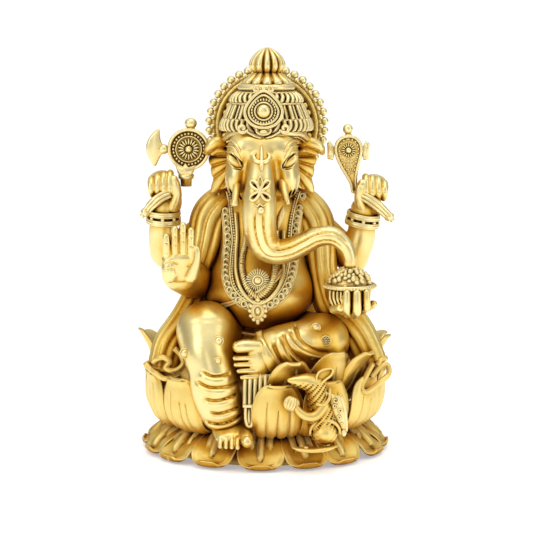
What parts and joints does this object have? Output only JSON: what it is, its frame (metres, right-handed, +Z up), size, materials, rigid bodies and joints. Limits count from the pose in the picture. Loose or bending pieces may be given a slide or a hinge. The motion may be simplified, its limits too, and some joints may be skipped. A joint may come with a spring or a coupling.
{
  "type": "deity figurine",
  "caption": "Cast brass seated elephant-headed deity on a double lotus, with raised trunk, bowl of sweets, crown, round halo, shawl and a mouse at its foot.",
  "frame": {"origin": "middle of the flat underside of the base, on the surface it stands on", "axes": "+Z up through the figure, -Y out of its front, +X towards its own left"},
  "size_m": [0.099, 0.0888, 0.15],
  "materials": {
    "polished": "polished antique gold",
    "antique": "antique gold with dark recesses",
    "ornament": "bright rubbed gold"
  },
  "bodies": {
    "root": {"lotus_core": "antique", "head": "polished", "torso": "polished", "trunk": "polished", "trunk_flower": "ornament", "left_tusk": "polished", "right_tusk": "polished", "right_ear": "polished", "left_ear": "polished", "crown_cap": "ornament", "crown_brim": "ornament", "crown_ring": "ornament", "finial_neck": "ornament", "finial": "ornament", "crest_jewel": "ornament", "halo_plate": "antique", "halo_bead_ring": "ornament", "raised_leg": "polished", "folded_leg": "polished", "raised_foot": "polished", "folded_foot": "polished", "dhoti_border": "ornament", "waist_sash": "ornament", "raised_knee_gem": "ornament", "folded_knee_gem": "ornament", "folded_knee_rosette": "ornament", "axe_arm": "polished", "axe_hand": "polished", "noose_arm": "polished", "noose_hand": "polished", "axe_bangle": "ornament", "noose_bangle": "ornament", "axe_shaft": "ornament", "axe_disc": "ornament", "axe_blade": "ornament", "noose_shaft": "ornament", "noose": "ornament", "blessing_hand": "polished", "blessing_forearm": "polished", "sweets_bowl": "ornament", "sweets": "ornament", "bowl_hand": "polished", "bowl_forearm": "polished", "sacred_thread": "ornament", "sunburst_pendant": "ornament", "rope_necklace": "ornament", "cord_necklace": "ornament", "garland_necklace": "ornament", "drop_pendant": "ornament", "shawl_right": "antique", "shawl_right_fall": "antique", "shawl_left": "antique", "shawl_back": "antique", "mouse_sweet": "ornament", "mouse": "antique", "mouse_foot": "antique", "mouse_cloth": "ornament", "petals_lower": "antique", "petals_outer": "antique", "petals_inner": "antique"}
  },
  "joints": []
}
